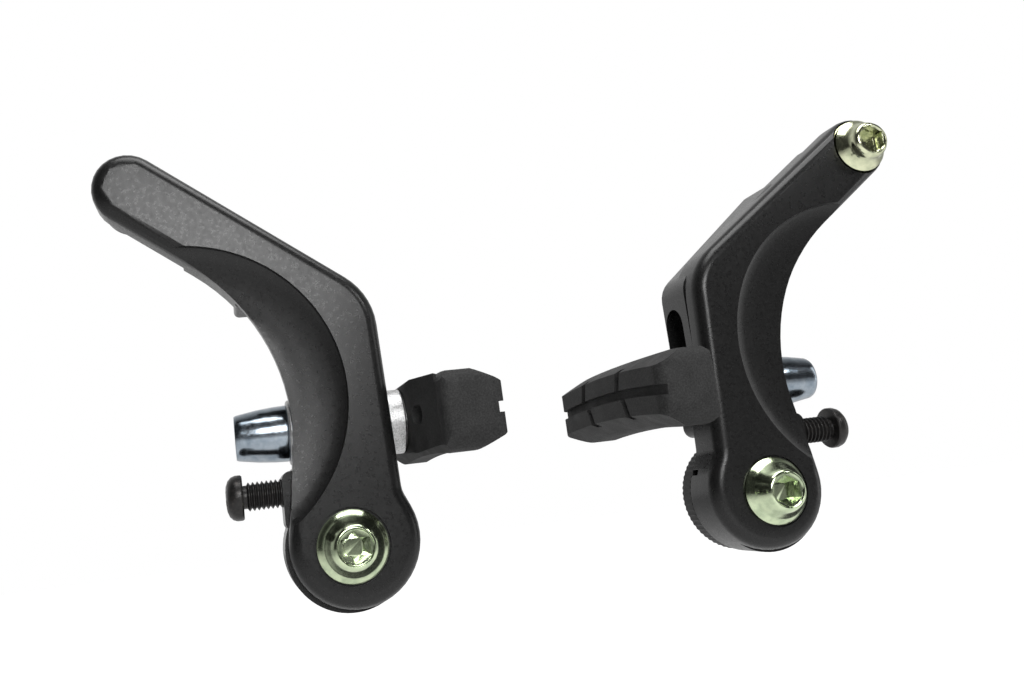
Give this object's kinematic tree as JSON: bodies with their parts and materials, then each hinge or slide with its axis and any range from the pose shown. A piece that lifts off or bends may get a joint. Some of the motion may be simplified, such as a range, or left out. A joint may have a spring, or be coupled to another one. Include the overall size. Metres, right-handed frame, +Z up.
{
  "type": "cantilever brake",
  "caption": "Bicycle rim brake: a pair of black cast arms that swing on frame bosses and press grooved rubber pads, pulled by a straddle cable.",
  "frame": {"origin": "midway between the two pivots, on the rear mounting plane where the arms meet the frame's boss brackets", "axes": "+Z up, along the fork or seat stays; +Y from the bolt heads into the frame, along both pivots; +X to the right as seen from the bolt heads"},
  "size_m": [0.1592, 0.052, 0.0843],
  "materials": {
    "arm_paint": "satin black over cast aluminium",
    "sleeve_steel": "turned steel",
    "zinc_yellow": "bright zinc with a yellow-green passivation",
    "zinc_gold": "bright zinc with a golden passivation",
    "zinc_blue": "bright zinc with a bluish passivation",
    "cup_alloy": "sandblasted, matt",
    "post_steel": "zinc plated",
    "cover_plastic": "moulded black",
    "spring_steel": "drawn wire",
    "black_screw": "black oxide",
    "pad_rubber": "moulded, matt black"
  },
  "bodies": {
    "frame_side": {"left_pivot_sleeve": "sleeve_steel", "left_mounting_bolt": "zinc_yellow", "left_spring_cover": "cover_plastic", "left_return_spring": "spring_steel", "right_pivot_sleeve": "sleeve_steel", "right_mounting_bolt": "zinc_yellow", "right_spring_cover": "cover_plastic", "right_return_spring": "spring_steel"},
    "left_arm": {"left_arm": "arm_paint"},
    "left_height_washers": {"left_inner_dome_washer": "zinc_blue", "left_outer_dome_washer": "zinc_blue"},
    "left_toe_washers": {"left_inner_cup_washer": "cup_alloy", "left_outer_cup_washer": "cup_alloy", "left_pad_nut": "zinc_blue"},
    "left_pad": {"left_pad_post": "post_steel", "left_brake_pad": "pad_rubber"},
    "left_tension": {"left_tension_screw": "black_screw"},
    "right_arm": {"right_arm": "arm_paint"},
    "right_height_washers": {"right_inner_dome_washer": "zinc_blue", "right_outer_dome_washer": "zinc_blue"},
    "right_toe_washers": {"right_inner_cup_washer": "cup_alloy", "right_outer_cup_washer": "cup_alloy", "right_pad_nut": "zinc_blue"},
    "right_pad": {"right_pad_post": "post_steel", "right_brake_pad": "pad_rubber"},
    "right_tension": {"right_tension_screw": "black_screw"},
    "right_cable_clamp": {"right_anchor_bolt": "zinc_yellow", "right_anchor_washer": "zinc_gold"}
  },
  "joints": [
    {"name": "left_arm_swing", "type": "hinge", "parent": "frame_side", "child": "left_arm", "pos_m": [-0.04, -0.0083, 0], "axis": [0, 1, 0], "range_deg": [-28, 14]},
    {"name": "left_pad_height", "type": "slide", "parent": "left_arm", "child": "left_height_washers", "axis": [0, 0, 1], "range_m": [0, 0.012]},
    {"name": "left_pad_toe_in", "type": "hinge", "parent": "left_height_washers", "child": "left_toe_washers", "pos_m": [-0.0378, -0.0052, 0.0211], "axis": [0, 0, -1], "range_deg": [-3, 3]},
    {"name": "left_pad_swivel", "type": "hinge", "parent": "left_toe_washers", "child": "left_pad", "pos_m": [-0.0378, -0.0052, 0.0211], "axis": [1, 0, 0], "range_deg": [-15, 15]},
    {"name": "left_tension_adjust", "type": "slide", "parent": "left_arm", "child": "left_tension", "axis": [-1, 0, 0], "range_m": [-0.0015, 0.002]},
    {"name": "right_arm_swing", "type": "hinge", "parent": "frame_side", "child": "right_arm", "pos_m": [0.04, -0.0083, 0], "axis": [0, -1, 0], "range_deg": [-28, 14]},
    {"name": "right_pad_height", "type": "slide", "parent": "right_arm", "child": "right_height_washers", "axis": [0, 0, 1], "range_m": [0, 0.012]},
    {"name": "right_pad_toe_in", "type": "hinge", "parent": "right_height_washers", "child": "right_toe_washers", "pos_m": [0.0378, -0.0052, 0.0211], "axis": [0, 0, 1], "range_deg": [-3, 3]},
    {"name": "right_pad_swivel", "type": "hinge", "parent": "right_toe_washers", "child": "right_pad", "pos_m": [0.0378, -0.0052, 0.0211], "axis": [1, 0, 0], "range_deg": [-15, 15]},
    {"name": "right_tension_adjust", "type": "slide", "parent": "right_arm", "child": "right_tension", "axis": [1, 0, 0], "range_m": [-0.0015, 0.002]},
    {"name": "right_cable_clamp_open", "type": "slide", "parent": "right_arm", "child": "right_cable_clamp", "axis": [0, -1, 0], "range_m": [0, 0.002]}
  ]
}
